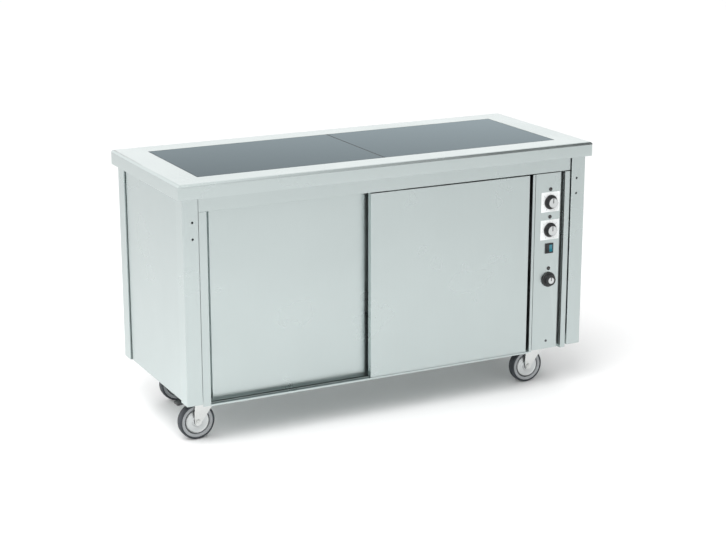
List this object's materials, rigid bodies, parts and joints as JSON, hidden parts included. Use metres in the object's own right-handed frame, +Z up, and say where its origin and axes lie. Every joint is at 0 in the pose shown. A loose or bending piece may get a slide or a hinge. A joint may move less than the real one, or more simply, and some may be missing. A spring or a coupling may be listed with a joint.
{
  "type": "mobile heated serving counter",
  "caption": "Stainless mobile serving counter with flush glass hot plates over a hot cupboard with sliding doors, a side control column and braked swivel casters.",
  "frame": {"origin": "on the floor under the middle of the worktop's outline", "axes": "+X along the counter towards the control column, the front and its doors face -Y, +Z up"},
  "size_m": [1.56, 0.64, 0.9],
  "materials": {
    "body_steel": "satin brushed stainless steel with a fine even grain",
    "worktop_steel": "satin stainless steel, slightly brighter than the body",
    "liner_steel": "mill-finish stainless sheet",
    "hot_plate_glass": "opaque grey glass-ceramic, polished",
    "silicone": "dark grey silicone",
    "element_sheath": "heat-darkened alloy sheath",
    "zinc_plate": "bright zinc plate",
    "tyre_rubber": "dark grey rubber tyre on a grey centre",
    "white_label": "white printed plate",
    "lamp_lens": "dark red translucent lens, unlit",
    "rocker_lens": "translucent blue-green rocker",
    "black_plastic": "black moulded plastic"
  },
  "bodies": {
    "counter": {"back_panel": "body_steel", "base_pan": "body_steel", "bottom_rail": "body_steel", "cable_gland": "black_plastic", "caster_plate_front_left": "zinc_plate", "caster_plate_front_right": "zinc_plate", "caster_plate_rear_left": "zinc_plate", "caster_plate_rear_right": "zinc_plate", "column_stile": "body_steel", "control_panel": "body_steel", "cupboard_ceiling": "liner_steel", "cupboard_element": "element_sheath", "cupboard_floor": "liner_steel", "cupboard_liner": "liner_steel", "dial_plate_lower": "white_label", "dial_plate_upper": "white_label", "door_track": "liner_steel", "fascia": "body_steel", "glass_left": "hot_plate_glass", "glass_right": "hot_plate_glass", "glass_seal": "silicone", "heater_cover": "liner_steel", "heater_element_left": "element_sheath", "heater_element_right": "element_sheath", "heater_tray_left": "liner_steel", "heater_tray_right": "liner_steel", "jamb_left": "body_steel", "jamb_right": "body_steel", "lamp_lower": "lamp_lens", "lamp_middle": "lamp_lens", "lamp_upper": "lamp_lens", "post_front_left": "body_steel", "post_front_right": "body_steel", "post_rear_left": "body_steel", "post_rear_right": "body_steel", "regulator_lower": "black_plastic", "regulator_upper": "black_plastic", "shelf": "liner_steel", "side_panel_left": "body_steel", "side_panel_right": "body_steel", "switch_housing": "black_plastic", "thermostat": "black_plastic", "worktop": "worktop_steel"},
    "door_left": {"door_left": "body_steel"},
    "door_right": {"door_right": "body_steel"},
    "knob_upper": {"knob_upper": "black_plastic"},
    "knob_lower": {"knob_lower": "black_plastic"},
    "knob_thermostat": {"knob_thermostat": "black_plastic"},
    "switch_rocker": {"switch_rocker": "rocker_lens"},
    "caster_fork_front_left": {"caster_fork_front_left": "zinc_plate"},
    "caster_wheel_front_left": {"caster_wheel_front_left": "tyre_rubber"},
    "brake_pedal_front_left": {"brake_pedal_front_left": "black_plastic"},
    "caster_fork_front_right": {"caster_fork_front_right": "zinc_plate"},
    "caster_wheel_front_right": {"caster_wheel_front_right": "tyre_rubber"},
    "brake_pedal_front_right": {"brake_pedal_front_right": "black_plastic"},
    "caster_fork_rear_left": {"caster_fork_rear_left": "zinc_plate"},
    "caster_wheel_rear_left": {"caster_wheel_rear_left": "tyre_rubber"},
    "caster_fork_rear_right": {"caster_fork_rear_right": "zinc_plate"},
    "caster_wheel_rear_right": {"caster_wheel_rear_right": "tyre_rubber"}
  },
  "joints": [
    {"name": "door_left_slide", "type": "slide", "parent": "counter", "child": "door_left", "axis": [1, 0, 0], "range_m": [0, 0.57]},
    {"name": "door_right_slide", "type": "slide", "parent": "counter", "child": "door_right", "axis": [1, 0, 0], "range_m": [-0.57, 0]},
    {"name": "knob_upper_turn", "type": "hinge", "parent": "counter", "child": "knob_upper", "pos_m": [0.6245, -0.297, 0.694], "axis": [0, 1, 0], "range_deg": [0, 300]},
    {"name": "knob_lower_turn", "type": "hinge", "parent": "counter", "child": "knob_lower", "pos_m": [0.6245, -0.297, 0.593], "axis": [0, 1, 0], "range_deg": [0, 300]},
    {"name": "knob_thermostat_turn", "type": "hinge", "parent": "counter", "child": "knob_thermostat", "pos_m": [0.6245, -0.297, 0.41], "axis": [0, 1, 0], "range_deg": [0, 270]},
    {"name": "rocker_tilt", "type": "hinge", "parent": "counter", "child": "switch_rocker", "pos_m": [0.6245, -0.296, 0.525], "axis": [1, 0, 0], "range_deg": [0, 12]},
    {"name": "caster_swivel_front_left", "type": "hinge", "parent": "counter", "child": "caster_fork_front_left", "pos_m": [-0.652, -0.194, 0.136], "axis": [0, 0, 1], "continuous": true},
    {"name": "wheel_spin_front_left", "type": "hinge", "parent": "caster_fork_front_left", "child": "caster_wheel_front_left", "pos_m": [-0.692, -0.194, 0.0625], "axis": [0, 1, 0], "continuous": true},
    {"name": "brake_press_front_left", "type": "hinge", "parent": "caster_fork_front_left", "child": "brake_pedal_front_left", "pos_m": [-0.709, -0.194, 0.137], "axis": [0, -1, 0], "range_deg": [0, 22]},
    {"name": "caster_swivel_front_right", "type": "hinge", "parent": "counter", "child": "caster_fork_front_right", "pos_m": [0.642, -0.194, 0.136], "axis": [0, 0, 1], "continuous": true},
    {"name": "wheel_spin_front_right", "type": "hinge", "parent": "caster_fork_front_right", "child": "caster_wheel_front_right", "pos_m": [0.602, -0.194, 0.0625], "axis": [0, 1, 0], "continuous": true},
    {"name": "brake_press_front_right", "type": "hinge", "parent": "caster_fork_front_right", "child": "brake_pedal_front_right", "pos_m": [0.585, -0.194, 0.137], "axis": [0, -1, 0], "range_deg": [0, 22]},
    {"name": "caster_swivel_rear_left", "type": "hinge", "parent": "counter", "child": "caster_fork_rear_left", "pos_m": [-0.652, 0.194, 0.136], "axis": [0, 0, 1], "continuous": true},
    {"name": "wheel_spin_rear_left", "type": "hinge", "parent": "caster_fork_rear_left", "child": "caster_wheel_rear_left", "pos_m": [-0.612, 0.194, 0.0625], "axis": [0, 1, 0], "continuous": true},
    {"name": "caster_swivel_rear_right", "type": "hinge", "parent": "counter", "child": "caster_fork_rear_right", "pos_m": [0.642, 0.194, 0.136], "axis": [0, 0, 1], "continuous": true},
    {"name": "wheel_spin_rear_right", "type": "hinge", "parent": "caster_fork_rear_right", "child": "caster_wheel_rear_right", "pos_m": [0.682, 0.194, 0.0625], "axis": [0, 1, 0], "continuous": true}
  ]
}
